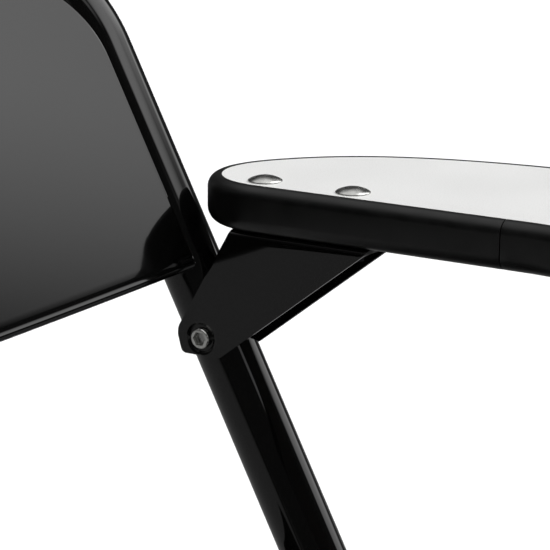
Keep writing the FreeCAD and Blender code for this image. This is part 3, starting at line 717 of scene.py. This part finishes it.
dimpleFloor = onTablet(0, bracket["inside"] + bracket["gauge"] - bracket["dimpleDepth"], 0)
finishPiece("pivotBoltHead", socketHead("pivotBoltHead", dimpleFloor, (-1, 0, 0)), zinc, "tablet",
            smoothAngle=30)
finishPiece("pivotBoltShank", boltShank("pivotBoltShank", dimpleFloor), zinc, "tablet",
            ["pivot_bolt"])

tabletBolts = {"ahead": (23.7, 65.8), "inward": 2.9}
carriage = {"radius": 7.3, "height": 2.6, "rim": 0.6, "undercut": 0.5, "sunk": 0.3, "rimEase": 0.15,
            "inset": 0.2, "rings": 14, "segments": 72}
stem = {"washer": 1.4, "below": 5.5, "radius": 3.2, "root": 2.8, "tip": 2.7, "chamfer": 0.3,
        "threadFrom": 0.4, "pitch": 1.0, "turns": 6, "threadTo": 6.6, "stop": 0.2, "segments": 40}


def carriageHead(name, ahead):
    c = carriage
    dome = c["height"] - c["rim"]
    ball = (c["radius"] ** 2 + dome ** 2) / (2 * dome)
    profile = [(c["radius"] - c["undercut"], -c["sunk"]), (c["radius"], c["rimEase"]),
               (c["radius"], c["rim"] - c["inset"]), (c["radius"] - c["rimEase"], c["rim"])]
    for k in range(1, c["rings"] + 1):
        radius = (c["radius"] - c["inset"]) * (1 - k / c["rings"])
        up = c["rim"] + math.sqrt(ball ** 2 - radius ** 2) - (ball - dome)
        profile.append((max(radius, hairline), up))
    centre = onTablet(ahead, tabletBolts["inward"], tabletTop)
    return turned(name, profile, centre, (0, 0, 1), c["segments"])


def boltStem(name, ahead):
    low = tablet["under"] - bracket["gauge"] - stem["washer"] - stem["below"]
    centre = onTablet(ahead, tabletBolts["inward"], low)
    profile = [(stem["tip"], 0.0), (stem["radius"], stem["chamfer"])]
    for k in range(stem["turns"]):
        crest = stem["threadFrom"] + k * stem["pitch"]
        profile += [(stem["radius"], crest), (stem["root"], crest + stem["pitch"] / 2)]
    profile += [(stem["radius"], stem["threadTo"]), (stem["radius"], tabletTop - low - stem["stop"])]
    return turned(name, profile, centre, (0, 0, 1), stem["segments"])


for name, ahead in zip(("Rear", "Front"), tabletBolts["ahead"]):
    finishPiece("carriageHead" + name, carriageHead("carriageHead" + name, ahead), zinc, "tablet")
    finishPiece("carriageStem" + name, boltStem("carriageStem" + name, ahead), zinc, "tablet",
                ["tablet_bolt_" + name.lower()])

# ---- carried-over pieces get their finishes ----
print("stage: finishes")
creaseAngle = 35
finishOf = {"black_enamel": enamel, "rubber": rubber, "black_vinyl": vinyl, "laminate": laminate,
            "chipboard": chips, "backing_sheet": backing, "zinc_steel": zinc, "black_oxide": oxide}
slotOf = {part["node"]: part["material_slot"] for part in frame["record"]["subparts"]}
for name, node in frame["nodes"].items():
    node.data.materials.clear()
    node.data.materials.append(finishOf[slotOf[name]])
    node.data.shade_smooth()
    node.data.set_sharp_from_angle(angle=math.radians(creaseAngle))

# pressed and sheared sheet has a small radius along its edges, which catches the light
sheetEdges = {"hinge_plate_left": 0.4, "hinge_plate_right": 0.4, "folding_strap_left": 0.4,
              "folding_strap_right": 0.4, "tablet_bolt_nuts": 0.3, "tablet_bolt_washers": 0.15,
              "pivot_lock_nut": 0.3, "pivot_washer": 0.15}
for name, radius in sheetEdges.items():
    easeEdges(frame["nodes"][name], radius)

# ---- floor, light and camera ----
print("stage: studio")
# the floor's sizes and the camera's near and far limits are in metres
studio = {"floorTone": "#ffffff", "floorSize": 60.0, "floorDrop": 0.0005, "sunStrength": 1.25,
          "sunAngle": 100.0, "sunTilt": (12, 8, 0), "wallGlow": 0.05}
# glows of the room: azimuth about +Z from +X and elevation, in degrees; a third value in a
# pair of limits is how softly they fade
floorLight = {"glow": 0.28, "fade": (0, -8)}
ceiling = {"glow": 0.8, "fade": (32, 62)}
softBox = {"glow": 2.5, "azimuth": (-92, -8, 5), "rise": (24.5, 36), "fall": (75, 60),
           "middle": -49, "slope": 0.33}
lowBox = {"glow": 1.5, "azimuth": (-50, -14, 3), "elevation": (4, 20, 3)}
stripLight = {"glow": 0.9, "azimuth": (-106, -97, 2), "elevation": (12, 30, 4)}


def studioFloor():
    mesh = bpy.data.meshes.new("studioFloor")
    s = studio["floorSize"] / 2
    mesh.from_pydata([(-s, -s, 0), (s, -s, 0), (s, s, 0), (-s, s, 0)], [], [(0, 1, 2, 3)])
    floor = bpy.data.objects.new("studioFloor", mesh)
    bpy.context.collection.objects.link(floor)
    floor.location.z = -studio["floorDrop"]
    floor.visible_glossy = False
    paper = newMaterial("studioPaper", {"Base Color": linearColour(studio["floorTone"]),
                                        "Roughness": 0.9, "Specular IOR Level": 0.1})[0]
    mesh.materials.append(paper)


def studioRoom():
    world = bpy.data.worlds.new("studioWorld")
    world.use_nodes = True
    tree = world.node_tree
    background = tree.nodes["Background"]

    def combine(operation, first, second=None):
        node = addNode(tree, "ShaderNodeMath", {"operation": operation})
        for socket, value in zip(node.inputs, (first, second)):
            if isinstance(value, bpy.types.NodeSocket):
                tree.links.new(value, socket)
            elif value is not None:
                socket.default_value = value
        return node.outputs[0]

    def smooth(value, low, high):
        node = addNode(tree, "ShaderNodeMapRange", {"interpolation_type": "SMOOTHSTEP",
                                                    "From Min": low, "From Max": high})
        tree.links.new(value, node.inputs["Value"])
        return node.outputs["Result"]

    def window(value, low, high, soft):
        rise = smooth(value, low - soft, low + soft)
        return combine("MULTIPLY", rise, smooth(value, high + soft, high - soft))

    place = addNode(tree, "ShaderNodeTexCoord")
    parts = addNode(tree, "ShaderNodeSeparateXYZ", links={"Vector": (place, "Generated")})
    turn = combine("ARCTAN2", parts.outputs["Y"], parts.outputs["X"])
    azimuth = combine("MULTIPLY", turn, 180 / math.pi)
    elevation = combine("MULTIPLY", combine("ARCSINE", parts.outputs["Z"]), 180 / math.pi)

    wall = studio["wallGlow"]
    lower = combine("MULTIPLY", smooth(elevation, *floorLight["fade"]), floorLight["glow"] - wall)
    upper = combine("MULTIPLY", smooth(elevation, *ceiling["fade"]), ceiling["glow"] - wall)
    glow = combine("ADD", combine("ADD", lower, upper), wall)
    # past its middle, the main soft box's lower edge comes down
    past = combine("MAXIMUM", combine("ADD", azimuth, -softBox["middle"]), 0)
    above = combine("ADD", elevation, combine("MULTIPLY", past, softBox["slope"]))
    height = combine("MULTIPLY", smooth(above, *softBox["rise"]), smooth(elevation, *softBox["fall"]))
    shares = [(softBox, combine("MULTIPLY", window(azimuth, *softBox["azimuth"]), height))]
    for light in (lowBox, stripLight):
        band = window(elevation, *light["elevation"])
        shares.append((light, combine("MULTIPLY", window(azimuth, *light["azimuth"]), band)))
    for light, share in shares:
        glow = combine("ADD", glow, combine("MULTIPLY", share, light["glow"]))
    tree.links.new(glow, background.inputs["Strength"])
    background.inputs["Color"].default_value = linearColour("#ffffff")
    bpy.context.scene.world = world


def overheadLight():
    data = bpy.data.lights.new("overhead", "SUN")
    data.energy = studio["sunStrength"]
    data.angle = math.radians(studio["sunAngle"])
    sun = bpy.data.objects.new("overhead", data)
    sun.rotation_euler = [math.radians(tilt) for tilt in studio["sunTilt"]]
    sun.visible_glossy = False
    bpy.context.collection.objects.link(sun)


# where the viewer stands, from the tablet pivot in mm, and how the view is turned
viewer = {"ahead": 489.85, "right": 739.16, "above": 245.29, "yaw": 32.0513, "pitch": 13.98,
          "roll": 0.441, "lens": 140.09, "sensor": 36, "near": 0.05, "far": 100}


def viewerCamera():
    yaw, pitch, roll = (math.radians(viewer[key]) for key in ("yaw", "pitch", "roll"))
    view = Vector((math.cos(yaw) * math.cos(pitch), math.sin(yaw) * math.cos(pitch), -math.sin(pitch)))
    right = Vector((math.sin(yaw), -math.cos(yaw), 0))
    up = right.cross(view)
    level = right * math.cos(roll) + up * math.sin(roll)
    upright = level.cross(view)
    data = bpy.data.cameras.new("viewer")
    data.lens = viewer["lens"]
    data.sensor_width = viewer["sensor"]
    data.clip_start = viewer["near"]
    data.clip_end = viewer["far"]
    camera = bpy.data.objects.new("viewer", data)
    matrix = Matrix((level, upright, -view)).transposed().to_4x4()
    matrix.translation = onTablet(viewer["ahead"], viewer["right"], viewer["above"])
    camera.matrix_world = matrix
    bpy.context.collection.objects.link(camera)
    bpy.context.scene.camera = camera


studioFloor()
studioRoom()
overheadLight()
viewerCamera()
bpy.context.scene.view_settings.view_transform = "Standard"
